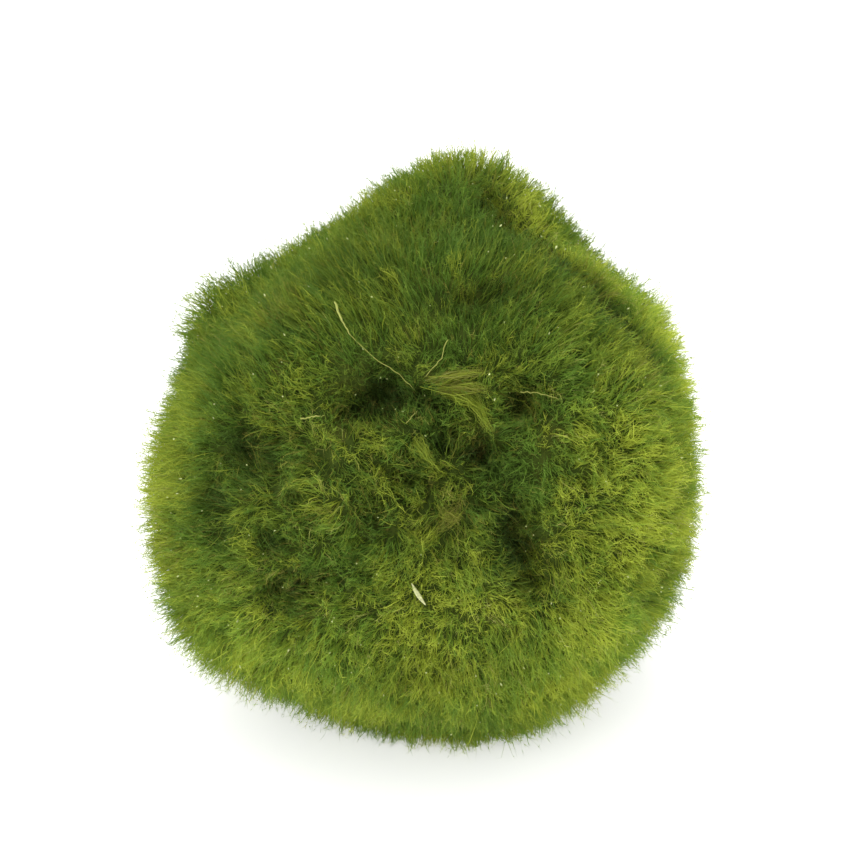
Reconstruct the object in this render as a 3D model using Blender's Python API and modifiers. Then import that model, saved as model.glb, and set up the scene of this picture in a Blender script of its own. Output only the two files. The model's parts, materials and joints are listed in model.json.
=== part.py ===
"""Marimo moss ball: one aquarium algae ball, as a closed solid that reaches its fibre tips.

Run with: blender --background --python part.py

Units are metres and +Z is up. The origin is the middle of the small flat spot that the ball
rests on, and the front of the ball faces -Y.
"""

import math

import bmesh
import bpy
from mathutils import Vector

MM = 0.001

# Driving dimensions
RADIUS = 20.7 * MM  # of the round form, before anything is pressed flat or swells
CENTRE_HEIGHT = 19.0 * MM  # from the surface that it rests on up to the middle of the ball
CAGE_CUTS = 4  # cuts along each edge of the cube that the cage starts as
SMOOTHING_LEVELS = 2

# The ball has been pressed against its neighbours, which left soft flats:
# (azimuth and elevation in degrees, distance of the flat from the middle of the ball).
# Azimuth 0 is the front, +90 the right-hand side. Elevation 90 is the top.
FLATS = (
    (-126, 50, 16.7 * MM),  # upper left, the largest
    (119, 41, 17.1 * MM),  # upper right
    (92, 4, 19.2 * MM),  # right-hand side
    (-100, 16, 17.8 * MM),  # left-hand side
    (0, 30, 18.6 * MM),  # front
    (175, 5, 18.4 * MM),  # back
    (-165, -30, 18.6 * MM),  # low at the back
)
FLAT_FIRMNESS = 0.72  # 0 leaves the round form, 1 makes each flat truly flat
FLAT_EDGE = 1.3 * MM  # how wide a flat's edge is rounded over

# Between the flats it bulges: (azimuth, elevation, height of the bulge, its spread in degrees).
BULGES = (
    (-86, -6, 1.5 * MM, 14),  # left-hand side
    (-66, -34, 2.5 * MM, 22),  # low on the left
    (49, -50, 1.6 * MM, 24),  # low on the right
    (148, 56, 3.9 * MM, 15),  # corner at the top
    (-172, 61, 3.0 * MM, 14),  # beside it
    (108, 27, 2.5 * MM, 14),  # corner on the right
    (-107, 28, 4.3 * MM, 12),  # corner on the left
    (60, 8, 0.5 * MM, 24),  # right of the front
    (-150, 0, 0.9 * MM, 24),  # left of the back
    (138, -14, 1.0 * MM, 26),  # right of the back
)

# sRGB 84, 100, 33 as linear numbers
MOSS_GREEN = (0.089, 0.127, 0.015, 1.0)
MOSS_ROUGHNESS = 0.9


def clear_scene():
    for obj in list(bpy.data.objects):
        bpy.data.objects.remove(obj)


def new_collection(name):
    collection = bpy.data.collections.new(name)
    bpy.context.scene.collection.children.link(collection)
    return collection


def towards(azimuth, elevation):
    """The unit vector at these angles from the middle of the ball."""
    turn, rise = math.radians(azimuth), math.radians(elevation)
    return Vector((math.sin(turn) * math.cos(rise), -math.cos(turn) * math.cos(rise), math.sin(rise)))


def pressed(point, flat):
    """The point moved in where it stands out past a flat, with the flat's edge rounded over."""
    azimuth, elevation, distance = flat
    axis = towards(azimuth, elevation)
    beyond = (point.dot(axis) - distance) / FLAT_EDGE
    excess = FLAT_EDGE * math.log1p(math.exp(beyond))
    return point - axis * excess * FLAT_FIRMNESS


def swollen(point, bulge):
    """The point moved out where it lies on a bulge."""
    azimuth, elevation, height, spread = bulge
    outwards = point.normalized()
    apart = math.degrees(outwards.angle(towards(azimuth, elevation)))
    return point + outwards * height * math.exp(-((apart / spread) ** 2))


def ball_surface(outwards):
    """Where the ball's surface lies in this direction from its middle."""
    point = outwards * RADIUS
    for flat in FLATS:
        point = pressed(point, flat)
    for bulge in BULGES:
        point = swollen(point, bulge)
    return point


def moss_material():
    material = bpy.data.materials.new("moss")
    material.use_nodes = True
    shader = material.node_tree.nodes["Principled BSDF"]
    shader.inputs["Base Color"].default_value = MOSS_GREEN
    shader.inputs["Roughness"].default_value = MOSS_ROUGHNESS
    shader.inputs["Metallic"].default_value = 0.0
    return material


def make_ball(collection):
    """A coarse cage, from a cube rounded out to the ball's form, under a Subdivision Surface."""
    mesh = bpy.data.meshes.new("moss_ball")
    cage = bmesh.new()
    bmesh.ops.create_cube(cage, size=2.0)
    bmesh.ops.subdivide_edges(cage, edges=cage.edges[:], cuts=CAGE_CUTS, use_grid_fill=True)
    middle = Vector((0.0, 0.0, CENTRE_HEIGHT))
    for vert in cage.verts:
        # The tangent spaces the cage's points evenly round the ball.
        even = Vector([math.tan(place * math.pi / 4) for place in vert.co])
        vert.co = middle + ball_surface(even.normalized())
    cage.to_mesh(mesh)
    cage.free()
    mesh.shade_smooth()
    mesh.materials.append(moss_material())

    ball = bpy.data.objects.new("moss_ball", mesh)
    collection.objects.link(ball)
    smoothing = ball.modifiers.new("soft form", "SUBSURF")
    smoothing.levels = SMOOTHING_LEVELS
    smoothing.render_levels = SMOOTHING_LEVELS
    return ball


def cut_resting_spot(ball, collection):
    """Cuts the ball off at Z = 0, which leaves the flat spot that it rests on."""
    side = 3 * RADIUS
    mesh = bpy.data.meshes.new("resting_cutter")
    block = bmesh.new()
    bmesh.ops.create_cube(block, size=side)
    bmesh.ops.translate(block, verts=block.verts, vec=(0.0, 0.0, -side / 2))
    block.to_mesh(mesh)
    block.free()

    cutter = bpy.data.objects.new("resting_cutter", mesh)
    collection.objects.link(cutter)
    cutter.display_type = "WIRE"
    cutter.hide_render = True

    cut = ball.modifiers.new("resting spot", "BOOLEAN")
    cut.operation = "DIFFERENCE"
    cut.solver = "EXACT"
    cut.object = cutter


def main():
    clear_scene()
    ball = make_ball(new_collection("marimo moss ball"))
    cut_resting_spot(ball, new_collection("cutters"))


main()
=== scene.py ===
"""Marimo moss ball: the looks. A felted mat of algae under a coat of fine filaments, on a pale floor.

Lengths are metres. Directions on the ball are (azimuth, elevation) in degrees, seen from its middle:
azimuth 0 is the front (-Y), +90 the right-hand side (+X), and elevation 90 is the top.
"""

import itertools
import json
import math

import bmesh
import bpy
import numpy as np
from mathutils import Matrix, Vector, bvhtree, kdtree

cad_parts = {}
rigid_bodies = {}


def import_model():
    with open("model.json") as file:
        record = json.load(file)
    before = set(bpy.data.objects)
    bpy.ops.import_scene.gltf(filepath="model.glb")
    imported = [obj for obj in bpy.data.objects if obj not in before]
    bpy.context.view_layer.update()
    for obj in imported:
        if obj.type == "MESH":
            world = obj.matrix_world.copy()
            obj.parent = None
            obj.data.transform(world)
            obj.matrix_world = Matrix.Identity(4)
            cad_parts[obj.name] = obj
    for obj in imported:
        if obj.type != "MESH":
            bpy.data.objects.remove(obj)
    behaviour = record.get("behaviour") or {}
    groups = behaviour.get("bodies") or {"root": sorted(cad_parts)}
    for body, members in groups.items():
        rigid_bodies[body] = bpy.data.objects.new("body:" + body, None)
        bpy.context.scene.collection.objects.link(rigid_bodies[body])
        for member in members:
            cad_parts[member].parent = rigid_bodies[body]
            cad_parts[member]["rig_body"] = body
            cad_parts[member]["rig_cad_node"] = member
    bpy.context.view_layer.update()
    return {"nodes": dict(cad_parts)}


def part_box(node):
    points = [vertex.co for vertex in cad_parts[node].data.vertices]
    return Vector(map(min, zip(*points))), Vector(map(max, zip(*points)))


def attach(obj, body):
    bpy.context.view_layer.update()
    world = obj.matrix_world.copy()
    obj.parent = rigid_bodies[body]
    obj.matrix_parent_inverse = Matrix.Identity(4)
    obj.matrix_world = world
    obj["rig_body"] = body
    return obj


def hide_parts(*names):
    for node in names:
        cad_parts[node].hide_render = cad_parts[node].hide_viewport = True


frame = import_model()
bpy.ops.object.select_all(action="DESELECT")

MM = 0.001
NODE = "moss_ball"
BALL_LOW, BALL_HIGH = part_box(NODE)
MIDDLE = np.array((BALL_LOW + BALL_HIGH) / 2)
RADIUS = (BALL_HIGH - BALL_LOW)[2] / 2

# The mat under the fur
FUR_DEPTH = 1.8 * MM  # from the mat up to the fibre tips
SOLE_DEPTH = 0.3 * MM  # the same, on the flat spot that the ball rests on
SOLE_RISE = 3.0 * MM  # how far up from the floor the fur takes to reach its full depth
FLOOR_GAP = 0.03 * MM

# Whorls that the fur grows away from, as (azimuth, elevation)
WHORLS = ((3, 22), (168, 10))
WHORL_REACH = 0.25  # at 0 a whorl combs the half of the ball round it, at 1 all of the ball

# Elsewhere the fur is short plush. Here it is matted into tufts, or long and laid flat:
# (azimuth, elevation, half width, half height)
MATTED_PATCHES = (
    (0, 17, 13.0 * MM, 9.0 * MM),
    (170, 6, 9.0 * MM, 8.0 * MM),
)
LAID_PATCHES = (
    (-10, 70, 13.0 * MM, 8.0 * MM),
    (-72, 42, 5.0 * MM, 6.0 * MM),
    (150, 45, 9.0 * MM, 6.0 * MM),
    (-130, -10, 7.0 * MM, 7.0 * MM),
)
PATCH_STRENGTH = 1.7  # past 1, so that the middle of a patch is covered whatever the noise is

# A crease that runs down inside the upper right edge, darkened with painted shade, with a pale ridge of
# painted rim light outside it
CREASE = ((107, 66), (95, 58), (88, 51), (84, 44), (84, 36), (82, 30))
CREASE_WIDTH = 1.6 * MM
CREASE_DEPTH = 1.8 * MM
RIDGE = ((122, 61), (115, 53), (110, 45), (106, 37), (100, 29))
RIDGE_WIDTH = 3.0 * MM

# Hollows where the mat shows dark, with painted shade: (azimuth, elevation, half width, half height,
# depth)
HOLLOWS = (
    (21, 11, 1.8 * MM, 2.2 * MM, 2.1 * MM),
    (23, 3, 1.5 * MM, 2.0 * MM, 2.5 * MM),
    (24, -4, 1.2 * MM, 1.2 * MM, 2.2 * MM),
    (17, 27, 1.0 * MM, 1.3 * MM, 1.7 * MM),
    (-33, -9, 1.8 * MM, 1.3 * MM, 2.8 * MM),
    (-25, -3, 1.2 * MM, 1.1 * MM, 2.2 * MM),
    (-37, 3, 1.1 * MM, 1.3 * MM, 2.0 * MM),
    (-53, 9, 0.9 * MM, 1.5 * MM, 1.8 * MM),
    (-50, 0, 0.9 * MM, 1.1 * MM, 1.6 * MM),
    (-9, -3, 1.1 * MM, 0.8 * MM, 1.5 * MM),
    (-15, 5, 1.1 * MM, 0.8 * MM, 1.6 * MM),
    (-47, 22, 2.2 * MM, 1.9 * MM, 1.4 * MM),
    (-32, 16, 0.9 * MM, 1.0 * MM, 1.6 * MM),
    (-13, 15, 1.1 * MM, 1.1 * MM, 1.1 * MM),
    (-4, 23, 1.2 * MM, 1.6 * MM, 1.9 * MM),
    (-23, 38, 1.4 * MM, 1.3 * MM, 2.0 * MM),
    (-14, 42, 2.0 * MM, 2.3 * MM, 2.2 * MM),
    (1, 41, 1.5 * MM, 1.0 * MM, 2.2 * MM),
    (7, 33, 1.1 * MM, 1.2 * MM, 2.0 * MM),
    (14, 29, 1.2 * MM, 1.2 * MM, 1.8 * MM),
    (29, 38, 1.9 * MM, 1.8 * MM, 2.0 * MM),
    (30, 64, 3.5 * MM, 1.5 * MM, 0.9 * MM),
    (127, 70, 2.6 * MM, 1.5 * MM, 2.6 * MM),
    (73, 7, 0.9 * MM, 1.7 * MM, 1.4 * MM),
    (60, -17, 1.6 * MM, 1.3 * MM, 1.3 * MM),
    (150, 20, 2.0 * MM, 2.8 * MM, 2.0 * MM),
    (-172, -6, 2.6 * MM, 1.7 * MM, 2.0 * MM),
    (178, 22, 1.6 * MM, 1.4 * MM, 1.6 * MM),
    (-120, 5, 1.9 * MM, 2.2 * MM, 1.6 * MM),
    (118, -8, 1.7 * MM, 2.4 * MM, 1.6 * MM),
)
HOLLOW_FIRMNESS = 1.7  # above 1 for a flatter bottom and steeper walls
DARK_DEPTH = 2.2 * MM  # how deep a hollow has to be for its painted shade to be wholly dark

# Where the fur is longer or shorter than elsewhere, on a mat that rises or sinks with it: (azimuth,
# elevation, half width, half height, change as a share of the fur's length)
LENGTH_PATCHES = (
    (-108, 30, 3.2 * MM, 3.0 * MM, 0.95),
    (-99, 18, 2.5 * MM, 2.5 * MM, -0.35),
    (-88, 0, 4.0 * MM, 6.0 * MM, 0.70),
    (-68, -33, 4.0 * MM, 5.0 * MM, 0.60),
    (117, 54, 3.0 * MM, 3.5 * MM, -0.50),
    (108, 28, 3.0 * MM, 3.0 * MM, 0.45),
    (85, -2, 4.0 * MM, 4.0 * MM, 0.10),
    (148, 56, 3.0 * MM, 2.5 * MM, 0.20),
    (-10, -50, 12.0 * MM, 6.0 * MM, -0.20),
)
MAT_SWELL = 0.7 * MM  # how far the mat rises where the fur is twice as long

# The patches of lighter, darker, yellower or greener fur that can be seen on the ball, partly painted
# light and
# shade: (azimuth, elevation, half width, half height, how much lighter, how much yellower)
TINT_LIGHT_AND_SHADE_PATCHES = (
    (0, 76, 10.0 * MM, 6.0 * MM, -0.08, -0.10),  # the dark crest
    (10, 60, 9.0 * MM, 6.0 * MM, 0.00, -0.13),  # the emerald fur in front of it
    (-68, 48, 4.5 * MM, 6.0 * MM, -0.10, 0.00),  # inside the upper left edge
    (-44, 41, 3.5 * MM, 6.0 * MM, 0.08, 0.00),  # a lighter band beside that
    (-82, 0, 4.0 * MM, 9.0 * MM, 0.06, 0.30),  # the yellow left-hand rim, painted rim light
    (-54, 10, 3.5 * MM, 5.0 * MM, -0.11, -0.05),  # the dark patch inside the rim
    (-33, -9, 1.8 * MM, 1.3 * MM, -0.16, 0.00),  # painted shade in the dark hollow low on the left
    (0, 20, 13.0 * MM, 8.0 * MM, 0.00, -0.08),  # the matted front
    (5, 25, 5.0 * MM, 4.0 * MM, -0.09, -0.12),  # painted shade in the dark crater in it
    (32, 25, 3.0 * MM, 4.5 * MM, -0.03, -0.25),  # an emerald patch beside the crater
    (86, 53, 3.2 * MM, 3.0 * MM, -0.24, 0.00),  # painted shade in the dark head of the crease
    (38, 39, 6.0 * MM, 4.0 * MM, 0.12, 0.00),  # the slope below the ridge
    (55, 14, 6.5 * MM, 9.0 * MM, 0.25, 0.00),  # the lime right-hand flank, lighter with painted light
    (95, 6, 5.5 * MM, 9.0 * MM, 0.32, 0.17),  # the yellow right-hand rim, painted rim light
    (40, -6, 6.5 * MM, 5.5 * MM, 0.18, 0.00),  # below the flank
    (-8, -8, 11.0 * MM, 4.5 * MM, 0.23, 0.00),  # the light lower front, painted light from the floor
    (0, -25, 5.0 * MM, 3.0 * MM, -0.20, 0.00),  # a darker patch at its foot
    (-35, -28, 9.0 * MM, 4.0 * MM, 0.18, 0.00),  # low on the left, lighter with painted light from the floor
    (35, -30, 9.0 * MM, 4.5 * MM, 0.28, 0.00),  # low on the right, lighter with painted light from the floor
    (175, 40, 8.0 * MM, 5.0 * MM, 0.08, 0.00),  # high on the back
    (-140, -10, 6.0 * MM, 6.0 * MM, 0.10, 0.00),  # low on the back
)

# Where old growth has gone brown: (azimuth, elevation, half width, half height, share of fibres)
BROWN_PATCHES = (
    (6, 17, 1.8 * MM, 1.5 * MM, 0.45),
    (-67, 51, 1.8 * MM, 1.6 * MM, 0.25),
    (-30, -6, 1.6 * MM, 1.3 * MM, 0.30),
    (14, 30, 1.4 * MM, 1.2 * MM, 0.30),
    (-178, 14, 2.4 * MM, 2.0 * MM, 0.35),
    (120, -20, 2.0 * MM, 2.0 * MM, 0.25),
)

# Smooth noises: (size of the lumps, seed, strength, which is 1 where it is left out)
MAT_ROLLS = (6.5 * MM, 11, 0.45 * MM)
MAT_TUFTS = (2.3 * MM, 12, 0.6)
MAT_CLUMPS = (1.3 * MM, 13, 0.4)
PATCH_EDGES = (6.0 * MM, 31, 0.35)
HOLLOW_EDGES = (1.3 * MM, 34, 0.35 * MM)
COMBED_WAVES = (6.0 * MM, 21, 0.35)
COMBED_RIPPLES = (3.0 * MM, 24, 0.35)
LOCK_SWIRLS = (2.4 * MM, 55)
LOCK_RUFFLES = (1.1 * MM, 155)
LOCK_LENGTHS = (5.0 * MM, 58, 0.2)
FIBRE_CURLS = (0.9 * MM, 61)
WIDE_TONES = (6.0 * MM, 41, 0.09)
CLOSE_TONES = (2.6 * MM, 42, 0.05)
WIDE_HUES = (5.0 * MM, 43, 0.36)
CLOSE_HUES = (2.2 * MM, 44, 0.30)
FLECKED_HUES = (1.0 * MM, 45, 0.20)
BROWN_DRIFTS = (4.0 * MM, 46)
WISP_WAVES = (0.8 * MM, 712, 0.25 * MM)

# ---------------------------------------------------------------- shapes shared by all the moss


def unit(vectors):
    return vectors / np.maximum(np.linalg.norm(vectors, axis=-1, keepdims=True), 1e-12)


def towards(azimuth, elevation):
    """The unit vector at these angles from the middle of the ball."""
    turn, rise = math.radians(azimuth), math.radians(elevation)
    return np.array((math.sin(turn) * math.cos(rise), -math.cos(turn) * math.cos(rise), math.sin(rise)))


def noise(points, size, seed, strength=1):
    """Smooth noise at each point, whose lumps are about this size, up to this strength either way."""
    cells = 32
    table = np.random.default_rng(seed).uniform(-1, 1, (cells, cells, cells))
    place = points / size
    low = np.floor(place).astype(int)
    along = place - low
    along = along * along * (3 - 2 * along)
    total = np.zeros(len(points))
    for corner in itertools.product((0, 1), repeat=3):
        weight = np.where(corner, along, 1 - along).prod(axis=1)
        x, y, z = ((low + corner) % cells).T
        total += weight * table[x, y, z]
    return strength * total


def noise_vectors(points, size, seed, strength=1):
    return np.stack([noise(points, size, seed + axis, strength) for axis in range(3)], axis=1)


def nearness(points, azimuth, elevation, half_width, half_height, firmness=1):
    """1 at this place on the ball, falling to 0 past an oval of this size round it. The fall is
    smooth, and steeper for a higher firmness."""
    axis = towards(azimuth, elevation)
    across = unit(np.cross((0.0, 0.0, 1.0), axis))
    up = np.cross(axis, across)
    offset = unit(points - MIDDLE) * RADIUS
    x, y = offset @ across, offset @ up
    apart = (x / half_width) ** 2 + (y / half_height) ** 2
    return np.exp(-(apart**firmness)) * (offset @ axis > 0)


def patched(points, patches, ground):
    """How far these patches cover each point, from 0 to 1, with ragged edges. A lower ground leaves
    less of it between them."""
    cover = noise(points, *PATCH_EDGES) + ground
    for patch in patches:
        cover += PATCH_STRENGTH * nearness(points, *patch)
    return np.clip(cover, 0, 1)


def matting(points):
    """How matted into tufts the fur is, from 0 to 1."""
    return patched(points, MATTED_PATCHES, ground=-0.2)


def laying(points):
    """How long and flat the fur is, from 0 to 1."""
    return patched(points, LAID_PATCHES, ground=-0.3) * (1 - matting(points))


def by_kind(amounts, matted, laid=0):
    """An amount that changes with the kind of fur, from the three that are given: what all the fur
    has, what matting adds and what laying it flat adds."""
    everywhere, where_matted, where_laid = amounts
    return everywhere + where_matted * matted + where_laid * laid


def beside(points, line, width):
    """1 on a line through these (azimuth, elevation) places, falling smoothly to 0 past its width."""
    places = unit(points - MIDDLE) * RADIUS
    apart = np.full(len(points), np.inf)
    for start, end in itertools.pairwise(towards(*place) * RADIUS for place in line):
        run = end - start
        share = np.clip((places - start) @ run / (run @ run), 0, 1)[:, None]
        apart = np.minimum(apart, np.linalg.norm(places - start - share * run, axis=1))
    return np.exp(-((apart / width) ** 2))


def hollowing(points):
    """How deep a hollow each point lies over, with ragged edges."""
    ragged = points + noise_vectors(points, *HOLLOW_EDGES)
    depth = CREASE_DEPTH * beside(ragged, CREASE, CREASE_WIDTH)
    for azimuth, elevation, half_width, half_height, hollow in HOLLOWS:
        near = nearness(ragged, azimuth, elevation, half_width, half_height, HOLLOW_FIRMNESS)
        depth = np.maximum(depth, hollow * near)
    return depth


def hollowness(points):
    """How far into a hollow each point lies, from 0 to 1."""
    return np.clip(hollowing(points) / DARK_DEPTH, 0, 1)


def tufting(points):
    """The lie of the mat's tufts, from -1 between them to 1 on them."""
    return noise(points, *MAT_TUFTS) + noise(points, *MAT_CLUMPS)


def lengthening(points):
    """By how much the fur is longer than elsewhere, as a share of its length."""
    change = np.zeros(len(points))
    for patch in LENGTH_PATCHES:
        change += patch[-1] * nearness(points, *patch[:-1])
    return change


def soleness(points):
    """How close to the floor each point is, from 0 well above it to 1 on it."""
    return np.clip(1 - points[:, 2] / SOLE_RISE, 0, 1) ** 2


# ---------------------------------------------------------------- the mat

TUFT_HEIGHT = (0.25, 0.65, 0.0)  # in millimetres, for by_kind


def read_vectors(items, field):
    """This field of each item of a mesh, as rows of three numbers."""
    found = np.empty(len(items) * 3, np.float32)
    items.foreach_get(field, found)
    return found.reshape(-1, 3).astype(float)


def read_surface(mesh):
    """Where the mesh's vertices are, and their normals."""
    return read_vectors(mesh.vertices, "co"), read_vectors(mesh.vertex_normals, "vector")


def add_object(name, data):
    obj = bpy.data.objects.new(name, data)
    bpy.context.scene.collection.objects.link(obj)
    return obj


def make_mat():
    """The felted mat: a copy of the ball, merged, drawn in by the fur's depth and made lumpy."""
    source = frame["nodes"][NODE]
    mat = source.copy()
    mat.data = source.data.copy()
    mat.name = "felted_mat"
    mat.parent = None
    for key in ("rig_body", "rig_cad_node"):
        if key in mat:
            del mat[key]
    bpy.context.scene.collection.objects.link(mat)
    mat.select_set(True)
    bpy.context.view_layer.objects.active = mat
    bpy.ops.object.mode_set(mode="EDIT")
    bpy.ops.mesh.select_all(action="SELECT")
    bpy.ops.mesh.remove_doubles(threshold=1e-6)
    bpy.ops.mesh.normals_make_consistent(inside=False)
    bpy.ops.mesh.subdivide(number_cuts=1, smoothness=0.0)
    bpy.ops.object.mode_set(mode="OBJECT")

    mesh = mat.data
    points, normals = read_surface(mesh)
    sole = soleness(points)
    depth = FUR_DEPTH * (1 - sole) + SOLE_DEPTH * sole
    rise = noise(points, *MAT_ROLLS)
    rise += tufting(points) * by_kind(TUFT_HEIGHT, matting(points)) * MM
    rise -= hollowing(points)
    rise += MAT_SWELL * lengthening(points)
    points += normals * (rise * (1 - sole) - depth)[:, None]
    points[:, 2] = np.maximum(points[:, 2], 2 * FLOOR_GAP)
    mesh.vertices.foreach_set("co", points.astype(np.float32).ravel())
    mesh.update()
    mesh.shade_smooth()
    mesh.materials.clear()
    mesh.materials.append(mat_material())
    mat.select_set(False)
    return mat


def scatter(mesh, count, seed):
    """Places spread evenly over a mesh, and the mesh's normal at each."""
    rng = np.random.default_rng(seed)
    mesh.calc_loop_triangles()
    corners = np.empty(len(mesh.loop_triangles) * 3, np.int32)
    mesh.loop_triangles.foreach_get("vertices", corners)
    corners = corners.reshape(-1, 3)
    points, normals = read_surface(mesh)
    a, b, c = (points[corners[:, i]] for i in range(3))
    reached = np.cumsum(np.linalg.norm(np.cross(b - a, c - a), axis=1))
    order = np.searchsorted(reached, rng.uniform(0, reached[-1], count))
    order = np.minimum(order, len(corners) - 1)
    u, v = rng.uniform(0, 1, (2, count))
    fold = u + v > 1
    u, v = np.where(fold, 1 - u, u), np.where(fold, 1 - v, v)
    weights = np.stack([1 - u - v, u, v], axis=1)[:, :, None]
    places = (points[corners[order]] * weights).sum(axis=1)
    facing = unit((normals[corners[order]] * weights).sum(axis=1))
    return places, facing


# ---------------------------------------------------------------- the fur

PLUSH_LENGTH = 1.7 * MM
MATTED_LENGTH = 1.9 * MM
LAID_LENGTH = 2.3 * MM
TALLEST = 2.7 * MM  # above the mat
HOLLOW_COMBING = 2.2  # how many times a hollow's own size it combs the fur over

# How the fur grows, for by_kind: (everywhere, what matting adds, what laying it flat adds)
LENGTH = (PLUSH_LENGTH, MATTED_LENGTH - PLUSH_LENGTH, LAID_LENGTH - PLUSH_LENGTH)
COMBED = (0.18, 0.0, 0.70)  # how far the locks lean the way that the fur is combed
SWIRLED = (0.45, 0.75, 0.0)  # how far they lean in swirls
RUFFLED = (0.48, 0.0, -0.25)  # how far they lean in smaller ruffles
TANGLED = (1.0, 0.8, 0.0)  # how far each leans its own way, times LOCK_TANGLED
GATHERED = (0.18, 0.42, 0.0)  # how far a fibre's tip is drawn in to its lock
CURLED = (0.28, 0.22, 0.0)  # how far a fibre curls, in millimetres
CALM = (1.0, 0.0, -0.5)  # how much of its straying and curling a fibre keeps

TUFTS = 1100  # that draw the locks' tips together where the fur is matted
TUFT_COMBED = 0.3
TUFT_TANGLED = 0.35
TUFT_DRAW = 0.45  # how far a lock's tip is drawn to its tuft's
TUFT_LENGTHS = (0.75, 1.15)
TUFT_TONES = 0.08

LOCKS = 13000
LOCK_TANGLED = 0.16
LOCK_SIZES = (0.8, 1.15)
LOCK_TONES = 0.05
LOCK_HUES = 0.2
OPENING_OUT = 1.5  # how strongly the fur in a hollow turns straight out from the ball
HOLLOW_SHORTER = 0.5
SOLE_SHORTER = 0.6

# How fibres differ, as shares of their lock's or their coat's own figure
FIBRE_LENGTHS = (0.55, 1.1)
FIBRE_GATHERING = (0.4, 1.3)
LOWER_STRAY, UPPER_STRAY = 0.5, 0.8
FIBRE_WIDTHS = (0.6, 1.4)
FIBRE_TAPER = 0.5  # towards the tip, which is a point

BRANCH_PLACES = (0.35, 0.98)  # from the root of its fibre, 0, to the tip, 1
BRANCH_LENGTHS = (0.5, 1.2)


def combing(points, normals):
    """The way the fur leans: away from the whorls and out of the hollows, with some waves."""
    outwards = unit(points - MIDDLE)
    lean = noise_vectors(points, *COMBED_WAVES) + noise_vectors(points, *COMBED_RIPPLES)
    for whorl in (towards(*place) for place in WHORLS):
        close = np.clip((outwards @ whorl + WHORL_REACH) / (1 + WHORL_REACH), 0, 1)[:, None]
        lean += close * unit(outwards * (outwards @ whorl)[:, None] - whorl)
    for azimuth, elevation, half_width, half_height, _ in HOLLOWS:
        apart = outwards - towards(azimuth, elevation)
        near = nearness(points, azimuth, elevation, HOLLOW_COMBING * half_width,
                        HOLLOW_COMBING * half_height)
        lean += unit(apart) * near[:, None]
    return lean - normals * (lean * normals).sum(axis=1)[:, None]


def nearest(places, points):
    """For each point, the nearest of these places, by its index."""
    tree = kdtree.KDTree(len(places))
    for index, place in enumerate(places):
        tree.insert(place, index)
    tree.balance()
    return np.array([tree.find(point)[1] for point in points])


def make_locks(mat):
    """The locks that the fur gathers in: where each is rooted, the two legs that it bends through,
    and how much lighter and yellower than its surroundings it is. The upper leg leans more."""
    rng = np.random.default_rng(50)
    tuft_roots, tuft_normals = scatter(mat.data, TUFTS, 51)
    tuft_lean = combing(tuft_roots, tuft_normals) * TUFT_COMBED
    tuft_lean += rng.normal(0, TUFT_TANGLED, (TUFTS, 3))
    tuft_rise = unit(tuft_normals + tuft_lean) * MATTED_LENGTH
    tuft_tips = tuft_roots + tuft_rise * rng.uniform(*TUFT_LENGTHS, (TUFTS, 1))
    tuft_tones = rng.normal(0, TUFT_TONES, TUFTS)

    roots, normals = scatter(mat.data, LOCKS, 52)
    hollow = hollowness(roots)[:, None]
    normals = unit(normals + OPENING_OUT * hollow * unit(roots - MIDDLE))
    matted = matting(roots)[:, None]
    laid = laying(roots)[:, None]
    lean = combing(roots, normals) * by_kind(COMBED, matted, laid)
    lean += noise_vectors(roots, *LOCK_SWIRLS) * by_kind(SWIRLED, matted, laid)
    lean += noise_vectors(roots, *LOCK_RUFFLES) * by_kind(RUFFLED, matted, laid)
    lean += rng.normal(0, LOCK_TANGLED, (LOCKS, 3)) * by_kind(TANGLED, matted, laid)
    length = by_kind(LENGTH, matted, laid)
    length *= rng.uniform(*LOCK_SIZES, (LOCKS, 1)) * (1 - HOLLOW_SHORTER * hollow)
    shorter = 1 - SOLE_SHORTER * soleness(roots)[:, None]
    length *= (1 + noise(roots, *LOCK_LENGTHS)[:, None]) * shorter
    length *= 1 + lengthening(roots)[:, None]
    rise = unit(normals + 0.4 * lean) * length / 2
    fall = unit(0.75 * normals + lean) * length / 2
    tuft = nearest(tuft_tips, roots + rise + fall)
    fall += (tuft_tips[tuft] - roots - rise - fall) * TUFT_DRAW * matted
    tones = rng.normal(0, LOCK_TONES, LOCKS) + tuft_tones[tuft] * matted[:, 0]
    hues = rng.normal(0, LOCK_HUES, LOCKS)
    return roots, rise, fall, tones, hues


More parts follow.
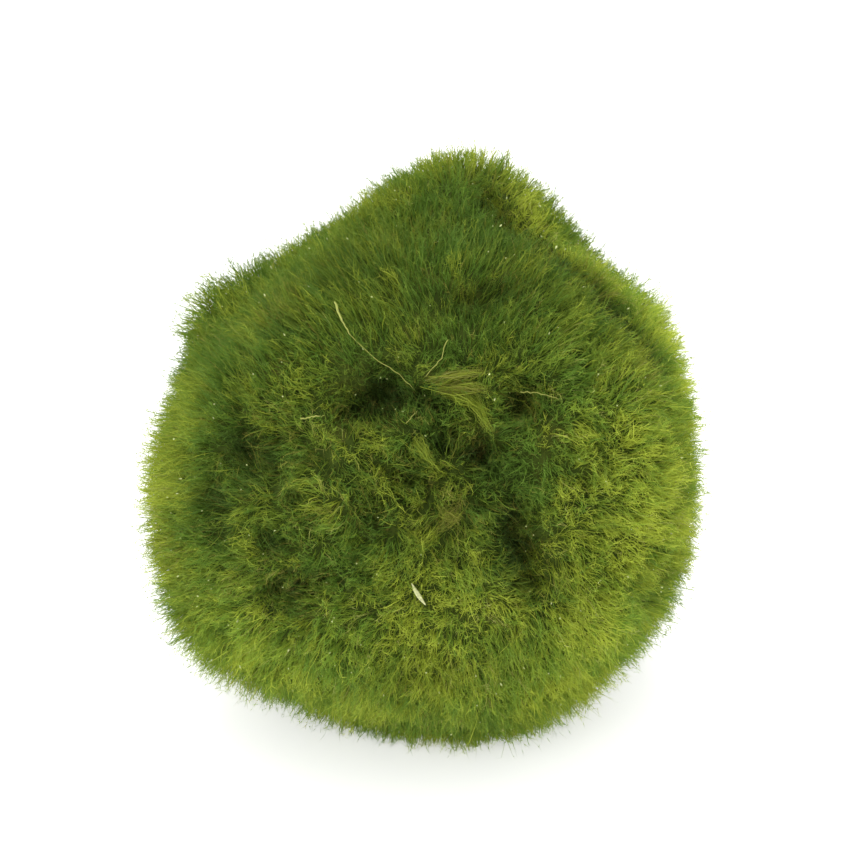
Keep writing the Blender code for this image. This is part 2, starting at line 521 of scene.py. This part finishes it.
def grow(mat, locks, count, seed, reach, upright, stray, joints):
    """Fibres rooted on the mat, as points from root to tip, and the lock that each belongs to.
    Each runs beside its lock, strays from it and closes in on it towards the tip. The more upright
    it is, from 0 to 1, the less it leans with the lock."""
    rng = np.random.default_rng(seed)
    lock_roots, rise, fall, _, _ = locks
    roots, normals = scatter(mat.data, count, seed + 1)
    lock = nearest(lock_roots, roots)
    first, second = rise[lock], fall[lock]
    matted = matting(roots)
    calm = by_kind(CALM, matted, laying(roots))
    stray = stray * calm[:, None]
    size = np.linalg.norm(first + second, axis=1)[:, None]
    second = second + (normals * size / 2 - second) * upright
    first = first + rng.normal(0, 1, (count, 3)) * stray * size * LOWER_STRAY
    second = second + rng.normal(0, 1, (count, 3)) * stray * size * UPPER_STRAY
    scale = (reach * rng.uniform(*FIBRE_LENGTHS, count))[:, None, None]
    t = np.linspace(0, 1, joints)[None, :, None]
    bend = 2 * t * (1 - t) * first[:, None] + t**2 * (first + second)[:, None]
    paths = roots[:, None] + bend * scale
    gather = by_kind(GATHERED, matted) * rng.uniform(*FIBRE_GATHERING, count)
    inwards = (lock_roots[lock] - roots) * gather[:, None]
    paths += inwards[:, None] * t
    curl = noise_vectors(paths.reshape(-1, 3), *FIBRE_CURLS).reshape(paths.shape)
    paths += curl * t * (by_kind(CURLED, matted) * calm)[:, None, None] * MM
    height = ((paths - roots[:, None]) * normals[:, None]).sum(axis=2)
    paths -= normals[:, None] * np.maximum(height - TALLEST, 0)[:, :, None]
    paths[:, :, 2] = np.maximum(paths[:, :, 2], FLOOR_GAP)
    return paths, lock


def branch(paths, count, seed, length, spread):
    """Short straight side branches towards the fibres' tips, and the fibre that each grows from."""
    rng = np.random.default_rng(seed)
    parent = rng.integers(0, len(paths), count)
    reached = rng.uniform(*BRANCH_PLACES, count) * (paths.shape[1] - 1)
    joint = reached.astype(int)
    low, high = paths[parent, joint], paths[parent, joint + 1]
    bases = low + (high - low) * (reached - joint)[:, None]
    heading = unit(unit(high - low) + rng.normal(0, spread, (count, 3)))
    tips = bases + heading * rng.uniform(*BRANCH_LENGTHS, (count, 1)) * length
    twigs = np.stack([bases, tips], axis=1)
    twigs[:, :, 2] = np.maximum(twigs[:, :, 2], FLOOR_GAP)
    return twigs, parent


# A fibre's colour is a tone, from 0 for dark to 1 for light, in one of the bands that lie side by
# side on the fibres' map.
EMERALD, MOSS, LIME, STRAW = range(4)
BANDS = 4
MOSS_FROM, LIME_FROM = -0.12, 0.28  # the hues, which rise from green to yellow, where a band begins
DARKEST, LIGHTEST = 0.02, 0.98

BASE_TONE = 0.478
UNDERSIDE_PAINTED_LIGHT = 0.17  # painted light from the floor: lighter where the ball faces down
TUFT_LIGHT_AND_SHADE = (0.04, 0.14, 0.0)  # painted light and shade: lighter on the mat's tufts, darker between them, for by_kind
# The ridge's painted rim light: how much lighter and yellower its fur is
RIDGE_PAINTED_LIGHT = 0.30
RIDGE_GLOW_HUE = 0.05
HOLLOW_PAINTED_SHADE = 0.56  # painted shade: darker in a hollow
TONE_SPREAD = 0.045
GLINT_SHARE, GLINT_TONE = 0.02, 0.3  # painted glints: a few fibres are much lighter

HUE_OF_TONE = 0.9  # how much yellower the lighter fur is,
PIVOT_TONE = 0.48  # than fur of this tone
HUE_SPREAD = 0.12

BROWN_SHARE = 0.02  # of fibres everywhere, and what drifts and hollows add
DRIFT_BROWN, DRIFT_EDGE = 0.25, 0.25
HOLLOW_BROWN = 0.15


def shades_of(paths, locks, lock, rng):
    """Each fibre's tone, and its band of colour."""
    roots, tips = paths[:, 0], paths[:, -1]
    count = len(roots)
    _, _, _, lock_tones, lock_hues = locks
    hollow = (hollowness(roots) + hollowness(tips)) / 2
    # painted light from the floor, lighter where the ball faces down
    tone = BASE_TONE + UNDERSIDE_PAINTED_LIGHT * np.clip(-unit(roots - MIDDLE)[:, 2], 0, 1)
    # painted light and shade: lighter on the tufts, darker between them
    tone += by_kind(TUFT_LIGHT_AND_SHADE, matting(roots)) * tufting(roots)
    tone += noise(roots, *WIDE_TONES) + noise(roots, *CLOSE_TONES)
    hue = noise(roots, *WIDE_HUES) + noise(roots, *CLOSE_HUES)
    # the patches' colour, partly painted light and shade
    for azimuth, elevation, half_width, half_height, lighter, yellower in TINT_LIGHT_AND_SHADE_PATCHES:
        near = nearness(roots, azimuth, elevation, half_width, half_height)
        tone += lighter * near
        hue += yellower * near
    # painted rim light along the ridge, lighter and yellower
    ridge = beside(roots, RIDGE, RIDGE_WIDTH)
    tone += RIDGE_PAINTED_LIGHT * ridge
    hue += RIDGE_GLOW_HUE * ridge
    # painted shade in the hollows
    tone += lock_tones[lock] - HOLLOW_PAINTED_SHADE * hollow
    # painted glints on a few much lighter fibres
    tone += rng.normal(0, TONE_SPREAD, count) + GLINT_TONE * (rng.uniform(0, 1, count) < GLINT_SHARE)

    hue += HUE_OF_TONE * (tone - PIVOT_TONE) + noise(roots, *FLECKED_HUES)
    hue += lock_hues[lock] + rng.normal(0, HUE_SPREAD, count)
    band = np.where(hue < MOSS_FROM, EMERALD, np.where(hue < LIME_FROM, MOSS, LIME))
    drift = np.clip(noise(roots, *BROWN_DRIFTS) - DRIFT_EDGE, 0, 1)
    brown = BROWN_SHARE + DRIFT_BROWN * drift + HOLLOW_BROWN * hollow
    for azimuth, elevation, half_width, half_height, share in BROWN_PATCHES:
        brown += share * nearness(roots, azimuth, elevation, half_width, half_height)
    band = np.where(rng.uniform(0, 1, count) < brown, STRAW, band)
    return np.clip(tone, DARKEST, LIGHTEST), band


# On the fibres' map
BAND_MARGIN = 0.06  # kept clear at each side of a band, as a share of the band
EDGE_OFFSET = 1.5 / 1024  # of a fibre's two edges from its middle
ROOT_HEIGHT, TIP_HEIGHT = 0.01, 0.99
TWIG_HEIGHT = 0.6  # where a side branch begins
WISP_HEIGHT = 0.3
STRAY_HEIGHT = 0.7


def make_fibres(name, paths, width, tones, bands, material, seed, base=ROOT_HEIGHT):
    """One mesh of flat fibres that taper to a point. Across its map goes each fibre's colour, and up
    it the height on the fibre, which starts at this base."""
    rng = np.random.default_rng(seed)
    count, joints = paths.shape[:2]
    pairs = joints - 1
    taper = 1 - FIBRE_TAPER * np.linspace(0, 1, joints) ** 1.5
    widths = width * rng.uniform(*FIBRE_WIDTHS, (count, 1)) * taper
    run = np.gradient(paths, axis=1)
    half = unit(np.cross(run, rng.normal(0, 1, (count, 1, 3)))) * widths[:, :, None] / 2
    points = np.concatenate([(paths - half)[:, :-1], (paths + half)[:, :-1], paths[:, -1:]], axis=1)
    points[:, :, 2] = np.maximum(points[:, :, 2], FLOOR_GAP)

    strip = []
    for low in range(pairs - 1):
        strip.append((low, pairs + low, low + 1))
        strip.append((pairs + low, pairs + low + 1, low + 1))
    strip.append((pairs - 1, 2 * pairs - 1, 2 * pairs))
    faces = (np.arange(count) * (2 * pairs + 1))[:, None, None] + np.array(strip)[None]
    faces = faces.reshape(-1, 3)

    mesh = bpy.data.meshes.new(name)
    mesh.from_pydata(points.reshape(-1, 3), [], faces)
    sides = np.array([-EDGE_OFFSET] * pairs + [EDGE_OFFSET] * pairs + [0.0])
    across = ((bands + BAND_MARGIN + (1 - 2 * BAND_MARGIN) * tones) / BANDS)[:, None] + sides
    height = np.linspace(base, TIP_HEIGHT, joints)
    up = np.broadcast_to(np.concatenate([height[:-1], height]), across.shape)
    places = np.stack([across, up], axis=2).reshape(-1, 2)
    layer = mesh.uv_layers.new(name="OFBake")
    layer.uv.foreach_set("vector", places[faces.ravel()].astype(np.float32).ravel())
    mesh.shade_smooth()
    mesh.materials.append(material)
    return add_object(name, mesh)


# ---------------------------------------------------------------- what lies on the fur

# Stray dead filaments: (width, tone, the (azimuth, elevation) places that it runs through)
STRAYS = (
    (0.120 * MM, 0.96, ((-40, 59), (-33, 56), (-27, 53))),
    (0.055 * MM, 0.74, ((-27, 53), (-16, 49), (-9, 47), (-3, 43))),
    (0.060 * MM, 0.70, ((8, 54), (5, 50), (0, 46))),
    (0.095 * MM, 0.85, ((-33, 33), (-27, 35))),
    (0.060 * MM, 0.70, ((-5, 36), (-2, 39))),
    (0.080 * MM, 0.75, ((27, 40), (31, 39), (37, 36))),
    (0.060 * MM, 0.70, ((29, 38), (31, 36))),
    (0.090 * MM, 0.80, ((150, 30), (160, 26), (170, 30))),
    (0.070 * MM, 0.75, ((-150, 12), (-158, 4), (-160, -6))),
    (0.060 * MM, 0.70, ((110, 10), (116, 2), (114, -8))),
)
STRAY_JOINTS = 12
STRAY_STRANDS = 3
STRAY_SINK = 0.1 * MM  # into the tips of the fur
STRAY_KINK = 0.04 * MM

# Wisps, gathered at both ends: (azimuth and elevation of the foot, the same of the tip, fibres,
# spread halfway, tone, band of half the fibres, the rest being lime)
WISPS = (
    (0, 46, 20, 46, 120, 0.35 * MM, 0.54, STRAW),
    (1, 45, 19, 42, 90, 0.40 * MM, 0.48, STRAW),
    (5, 44, 18, 38, 70, 0.45 * MM, 0.44, LIME),
    (13, 44, 18, 33, 80, 0.50 * MM, 0.42, LIME),
    (-4, 34, 3, 26, 90, 0.80 * MM, 0.38, LIME),
    (3, 17, 9, 14, 50, 0.50 * MM, 0.36, STRAW),
    (9, 18, 3, 12, 50, 0.50 * MM, 0.32, STRAW),
    (174, 18, 186, 12, 80, 0.50 * MM, 0.42, STRAW),
    (116, -16, 126, -22, 70, 0.50 * MM, 0.40, STRAW),
)

WISP_JOINTS = 5
WISP_FIBRE_WIDTH = 0.040 * MM
WISP_FOOT_SINK = 1.1 * MM
WISP_TIP_SINK = 0.5 * MM
WISP_FOOT_SPREAD = 0.22 * MM
WISP_TIP_SPREAD = 0.18 * MM
WISP_BOW = (0.1 * MM, 0.6 * MM)

# Painted glints: pale grain-shaped specks at the fibres' ends
SPECKS = 450
SPECK_LOWEST = 0.3 * MM
SPECK_BREADTH = (0.035 * MM, 0.075 * MM)
SPECK_STRETCH = (1, 2.5)
GLINT_SPECK_COLOUR = (0.50, 0.54, 0.22)

HUSK_ENDS = ((-3, 1), (0, -4))
HUSK_HALF_DEPTH = 0.13 * MM
HUSK_HALF_WIDTH = 0.17 * MM
HUSK_SINK = 0.2 * MM
HUSK_TAPER = 0.5  # how much slimmer it gets towards its ends
HUSK_FURROW_DEPTH = 0.4  # share of the half depth
HUSK_FURROW_WIDTH = 0.3  # share of the half width, as the bow is
HUSK_BOW = 0.4
HUSK_COLOUR = (0.42, 0.43, 0.20)


def surface_finder():
    """A function that gives the place on the ball's surface in a direction from its middle."""
    depsgraph = bpy.context.evaluated_depsgraph_get()
    surface = bvhtree.BVHTree.FromObject(frame["nodes"][NODE], depsgraph)

    def find(azimuth, elevation):
        outwards = towards(azimuth, elevation)
        return np.array(surface.ray_cast(Vector(MIDDLE), Vector(outwards))[0])

    return find


def smooth_path(places, joints):
    """Points spaced along a smooth line through these places."""
    places = np.array(places)
    at = np.linspace(0, len(places) - 1, joints)
    index = np.minimum(at.astype(int), len(places) - 2)
    t = (at - index)[:, None]
    padded = np.concatenate([2 * places[:1] - places[1:2], places, 2 * places[-1:] - places[-2:-1]])
    p0, p1, p2, p3 = (padded[index + step] for step in range(4))
    return 0.5 * (2 * p1 + (p2 - p0) * t + (2 * p0 - 5 * p1 + 4 * p2 - p3) * t**2
                  + (3 * p1 - p0 - 3 * p2 + p3) * t**3)


def make_strays(find, material):
    """Pale dead filaments lying over the fur, each of a few flat strands so that it looks round."""
    rng = np.random.default_rng(700)
    paths, widths, tones = [], [], []
    for width, tone, places in STRAYS:
        path = smooth_path([find(*place) for place in places], STRAY_JOINTS)
        path -= unit(path - MIDDLE) * STRAY_SINK
        path += rng.normal(0, STRAY_KINK, path.shape)
        paths += [path] * STRAY_STRANDS
        widths += [width] * STRAY_STRANDS
        tones += [tone] * STRAY_STRANDS
    bands = np.full(len(paths), STRAW)
    return make_fibres("stray_filaments", np.array(paths), np.array(widths)[:, None],
                       np.array(tones), bands, material, 701, STRAY_HEIGHT)


def make_wisps(find, material):
    """Small wisps of dead or lighter fibres lying over the fur."""
    rng = np.random.default_rng(710)
    paths, tones, bands = [], [], []
    for foot_turn, foot_rise, tip_turn, tip_rise, count, breadth, tone, band in WISPS:
        foot, tip = find(foot_turn, foot_rise), find(tip_turn, tip_rise)
        out = unit(foot - MIDDLE)
        start, end = rng.uniform(0, 0.4, (count, 1)), rng.uniform(0.5, 1.05, (count, 1))
        starts = foot + (tip - foot) * start - out * WISP_FOOT_SINK
        starts += rng.normal(0, WISP_FOOT_SPREAD, (count, 3))
        ends = foot + (tip - foot) * end - out * WISP_TIP_SINK
        ends += rng.normal(0, WISP_TIP_SPREAD, (count, 3))
        bow = (starts + ends) / 2 + rng.normal(0, 1, (count, 3)) * breadth
        bow += out * rng.uniform(*WISP_BOW, (count, 1))
        t = np.linspace(0, 1, WISP_JOINTS)[None, :, None]
        paths.append((1 - t) ** 2 * starts[:, None] + 2 * t * (1 - t) * bow[:, None]
                     + t**2 * ends[:, None])
        tones.append(np.clip(tone + rng.normal(0, 0.12, count), 0, 1))
        bands.append(np.where(rng.uniform(0, 1, count) < 0.5, band, LIME))
    paths, tones, bands = (np.concatenate(group) for group in (paths, tones, bands))
    paths += noise_vectors(paths.reshape(-1, 3), *WISP_WAVES).reshape(paths.shape)
    return make_fibres("wisps", paths, WISP_FIBRE_WIDTH, tones, bands, material, 711, WISP_HEIGHT)


def make_glint_specks(paths):
    """Painted glints: pale grain-shaped specks along the fibres' ends, each stretched along its fibre.
    """
    rng = np.random.default_rng(720)
    grain = bmesh.new()
    bmesh.ops.create_uvsphere(grain, u_segments=4, v_segments=2, radius=1.0)
    corners = np.array([vert.co for vert in grain.verts])
    faces = np.array([[vert.index for vert in face.verts] for face in grain.faces])
    grain.free()
    ends = paths[rng.integers(0, len(paths), SPECKS)]
    places = ends[:, -1]
    places[:, 2] = np.maximum(places[:, 2], SPECK_LOWEST)
    along = unit(ends[:, -1] - ends[:, -2])
    side = unit(np.cross(along, rng.normal(0, 1, (SPECKS, 3))))
    axes = np.stack([side, np.cross(along, side), along], axis=1)
    breadths = rng.uniform(*SPECK_BREADTH, (SPECKS, 1, 1))
    stretch = np.ones((SPECKS, 3, 1))
    stretch[:, 2, 0] = rng.uniform(*SPECK_STRETCH, SPECKS)
    points = places[:, None] + corners[None] @ (axes * (breadths * stretch))
    order = faces[None] + (np.arange(SPECKS) * len(corners))[:, None, None]
    mesh = bpy.data.meshes.new("glint_specks")
    mesh.from_pydata(points.reshape(-1, 3), [], order.reshape(-1, 3))
    mesh.materials.append(scrap_and_glint_material("painted_glint", GLINT_SPECK_COLOUR))
    return add_object("glint_specks", mesh)


def make_husk(find):
    """One cream husk stuck low on the front, like a split grain: pointed at its ends, with a furrow
    down each face and a slight bow."""
    foot, tip = (find(*place) for place in HUSK_ENDS)
    bpy.ops.mesh.primitive_uv_sphere_add(segments=20, ring_count=16, radius=1.0)
    husk = bpy.context.object
    husk.name = "cream_husk"
    for vert in husk.data.vertices:
        x, y, z = vert.co
        slimness = 1 - HUSK_TAPER * abs(z) ** 1.5
        furrow = HUSK_FURROW_DEPTH * math.exp(-((y / HUSK_FURROW_WIDTH) ** 2))
        vert.co = (x * slimness * (1 - furrow), y * slimness + HUSK_BOW * z * z, z)
    husk.scale = (HUSK_HALF_DEPTH, HUSK_HALF_WIDTH, np.linalg.norm(tip - foot) / 2)
    husk.rotation_euler = Vector(tip - foot).to_track_quat("Z", "Y").to_euler()
    middle = (foot + tip) / 2
    husk.location = middle - unit(middle - MIDDLE) * HUSK_SINK
    bpy.ops.object.transform_apply(location=True, rotation=True, scale=True)
    husk.data.shade_smooth()
    husk.data.materials.append(scrap_and_glint_material("cream_husk", HUSK_COLOUR))
    husk.select_set(False)
    return husk


# ---------------------------------------------------------------- materials


def new_material(name, roughness, specular):
    material = bpy.data.materials.new(name)
    material.use_nodes = True
    shader = material.node_tree.nodes["Principled BSDF"]
    shader.inputs["Roughness"].default_value = roughness
    shader.inputs["Specular IOR Level"].default_value = specular
    return material, material.node_tree, shader


def colour_ramp(tree, stops):
    ramp = tree.nodes.new("ShaderNodeValToRGB")
    elements = ramp.color_ramp.elements
    while len(elements) < len(stops):
        elements.new(0.5)
    for element, (place, colour) in zip(elements, stops, strict=True):
        element.position = place
        element.color = (*colour, 1.0)
    return ramp


TONE_PLACES = (0.05, 0.5, 0.95)  # across a band, where the three colours of the next table lie

# A fibre tip's colour in each band, from dark to light
TIP_COLOURS = (
    ((0.040, 0.077, 0.011), (0.142, 0.255, 0.032), (0.300, 0.480, 0.068)),  # emerald
    ((0.053, 0.080, 0.011), (0.203, 0.295, 0.033), (0.435, 0.590, 0.075)),  # moss
    ((0.090, 0.115, 0.013), (0.320, 0.395, 0.039), (0.665, 0.755, 0.100)),  # lime
    ((0.092, 0.088, 0.016), (0.310, 0.310, 0.052), (0.640, 0.670, 0.210)),  # straw
)

# What a fibre's colour is multiplied by, from its root to its tip: painted shade, darker towards the
# root
ROOT_SHADE_TO_TIP = (
    (0.0, (0.55, 0.56, 0.50)),
    (0.35, (0.75, 0.76, 0.70)),
    (0.75, (0.92, 0.92, 0.89)),
    (1.0, (1.00, 0.99, 1.02)),
)


def fibre_material():
    """Darkened towards the root with painted shade and light at the tip, with the fibre's own colour
    read across the map.
    """
    material, tree, shader = new_material("algae_fibre", 0.6, 0.2)
    place = tree.nodes.new("ShaderNodeUVMap")
    place.uv_map = "OFBake"
    split = tree.nodes.new("ShaderNodeSeparateXYZ")
    tree.links.new(place.outputs["UV"], split.inputs[0])
    stops = []
    for band, colours in enumerate(TIP_COLOURS):
        for place_in_band, colour in zip(TONE_PLACES, colours, strict=True):
            stops.append(((band + place_in_band) / BANDS, colour))
    tips = colour_ramp(tree, stops)
    # painted shade, darker towards the root
    shade = colour_ramp(tree, ROOT_SHADE_TO_TIP)
    tree.links.new(split.outputs["X"], tips.inputs["Fac"])
    tree.links.new(split.outputs["Y"], shade.inputs["Fac"])
    product = tree.nodes.new("ShaderNodeMix")
    product.data_type = "RGBA"
    product.blend_type = "MULTIPLY"
    product.inputs["Factor"].default_value = 1.0
    tree.links.new(tips.outputs["Color"], product.inputs["A"])
    tree.links.new(shade.outputs["Color"], product.inputs["B"])
    tree.links.new(product.outputs["Result"], shader.inputs["Base Color"])
    glow = tree.nodes.new("ShaderNodeBsdfTranslucent")
    tree.links.new(product.outputs["Result"], glow.inputs["Color"])
    blend = tree.nodes.new("ShaderNodeMixShader")
    blend.inputs["Fac"].default_value = 0.4
    tree.links.new(shader.outputs["BSDF"], blend.inputs[1])
    tree.links.new(glow.outputs["BSDF"], blend.inputs[2])
    tree.links.new(blend.outputs["Shader"], tree.nodes["Material Output"].inputs["Surface"])
    return material


def mottle(tree, shader, lumps_per_metre, detail, stops):
    """Colours the surface by a noise that is fixed to the piece."""
    place = tree.nodes.new("ShaderNodeTexCoord")
    lumps = tree.nodes.new("ShaderNodeTexNoise")
    lumps.inputs["Scale"].default_value = lumps_per_metre
    lumps.inputs["Detail"].default_value = detail
    tree.links.new(place.outputs["Object"], lumps.inputs["Vector"])
    ramp = colour_ramp(tree, stops)
    tree.links.new(lumps.outputs["Fac"], ramp.inputs["Fac"])
    tree.links.new(ramp.outputs["Color"], shader.inputs["Base Color"])


def mat_material():
    """The felt between the fibres: very dark green, partly painted shade for the gaps, mottled with
    brown.
    """
    material, tree, shader = new_material("felted_algae", 0.95, 0.05)
    # very dark, partly painted shade deep between the fibres
    mottle(tree, shader, 420, 6, (
        (0.3, (0.024, 0.037, 0.007)),
        (0.55, (0.048, 0.070, 0.011)),
        (0.8, (0.075, 0.078, 0.015)),
    ))
    return material


def scrap_and_glint_material(name, colour):
    """Dead matter, and the painted glints, of about this colour, mottled lighter and darker every
    fraction of a millimetre.
    """
    material, tree, shader = new_material(name, 0.5, 0.4)
    mottle(tree, shader, 6000, 2, (
        (0.3, [0.65 * part for part in colour]),
        (0.7, [1.35 * part for part in colour]),
    ))
    return material


def floor_material():
    """Pale and lit from within, like a light table, so that the shadow on it stays faint."""
    material, _, shader = new_material("pale_floor", 0.85, 0.2)
    shader.inputs["Base Color"].default_value = (0.82, 0.82, 0.81, 1.0)
    shader.inputs["Emission Color"].default_value = (1.0, 1.0, 1.0, 1.0)
    shader.inputs["Emission Strength"].default_value = 0.5
    return material


# ---------------------------------------------------------------- the stage


FLOOR_RADIUS = 2.5

WORLD_LIGHT = 1.1
# Softboxes: (name, place, size, power)
SOFTBOXES = (
    ("overhead_softbox", (-0.10, 0.15, 0.9), 0.7, 6.5),
    ("front_softbox", (-0.35, -0.75, 0.55), 0.5, 2.0),
)

CAMERA_RISE = 30.0
CAMERA_DISTANCE = 0.70
SENSOR_WIDTH = 36.0  # in millimetres, as the lens is
VIEW_WIDTH = 60 * MM
VIEW_RAISED = 1.8 * MM  # how far above the ball's middle the view is centred


def make_floor():
    bpy.ops.mesh.primitive_circle_add(
        vertices=96, radius=FLOOR_RADIUS, fill_type="NGON", location=(0, 0, 0))
    floor = bpy.context.object
    floor.name = "pale_floor"
    floor.data.materials.append(floor_material())
    floor.select_set(False)


def make_lights():
    world = bpy.data.worlds.new("studio")
    bpy.context.scene.world = world
    world.use_nodes = True
    background = world.node_tree.nodes["Background"]
    background.inputs["Color"].default_value = (1.0, 1.0, 1.0, 1.0)
    background.inputs["Strength"].default_value = WORLD_LIGHT
    for name, place, size, power in SOFTBOXES:
        light = bpy.data.lights.new(name, "AREA")
        light.shape = "DISK"
        light.size = size
        light.energy = power
        lamp = add_object(name, light)
        lamp.location = place
        lamp.rotation_euler = (Vector(MIDDLE) - Vector(place)).to_track_quat("-Z", "Y").to_euler()


def make_camera():
    data = bpy.data.cameras.new("camera")
    data.sensor_width = SENSOR_WIDTH
    data.lens = data.sensor_width * CAMERA_DISTANCE / VIEW_WIDTH
    data.clip_start = 0.01
    camera = add_object("camera", data)
    back = Vector(towards(0, CAMERA_RISE))
    up = Vector(towards(0, CAMERA_RISE + 90))
    aim = Vector(MIDDLE) + up * VIEW_RAISED
    camera.location = aim + back * CAMERA_DISTANCE
    camera.rotation_euler = (-back).to_track_quat("-Z", "Y").to_euler()
    bpy.context.scene.camera = camera


# ---------------------------------------------------------------- putting it together


# Each coat of fur: (name, fibres, seed, reach as a share of the locks', how upright, stray, width,
# joints, how much lighter)
COATS = (
    ("undercoat", 58000, 100, 0.75, 0.6, 0.30, 0.080 * MM, 3, 0.0),
    ("fur_a", 38000, 200, 1.0, 0.0, 0.28, 0.048 * MM, 4, 0.0),
    ("fur_b", 38000, 300, 1.0, 0.0, 0.28, 0.048 * MM, 4, 0.0),
    ("wild_hairs", 3000, 500, 1.25, 0.0, 0.45, 0.040 * MM, 5, 0.2),
)
BRANCHED = ("fur_a", "fur_b")  # the coats that the side branches and specks are on

# Each set of side branches: (name, branches, seed, length, spread, width)
BRANCHES = (
    ("side_branches", 185000, 600, 0.60 * MM, 0.60, 0.038 * MM),
    ("fine_branches", 185000, 650, 0.45 * MM, 0.85, 0.035 * MM),
)
SHADE_SEED, MESH_SEED = 7, 9  # on top of a coat's own seed


def main():
    mat = make_mat()
    fibre = fibre_material()
    locks = make_locks(mat)
    pieces = [mat]
    branched = []
    for name, count, seed, reach, upright, stray, width, joints, lighter in COATS:
        paths, lock = grow(mat, locks, count, seed, reach, upright, stray, joints)
        tones, bands = shades_of(paths, locks, lock, np.random.default_rng(seed + SHADE_SEED))
        tones = np.clip(tones + lighter, 0, LIGHTEST)
        pieces.append(make_fibres(name, paths, width, tones, bands, fibre, seed + MESH_SEED))
        if name in BRANCHED:
            branched.append((paths, tones, bands))
    paths, tones, bands = (np.concatenate(group) for group in zip(*branched, strict=True))
    find = surface_finder()
    pieces += [make_strays(find, fibre), make_wisps(find, fibre)]
    pieces += [make_glint_specks(paths), make_husk(find)]
    for name, count, seed, length, spread, width in BRANCHES:
        twigs, parent = branch(paths, count, seed, length, spread)
        pieces.append(make_fibres(name, twigs, width, tones[parent], bands[parent], fibre,
                                  seed + MESH_SEED, TWIG_HEIGHT))
    for piece in pieces:
        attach(piece, "root")
        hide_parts(NODE)
    make_floor()
    make_lights()
    make_camera()
    bpy.context.scene.view_settings.view_transform = "Standard"


main()
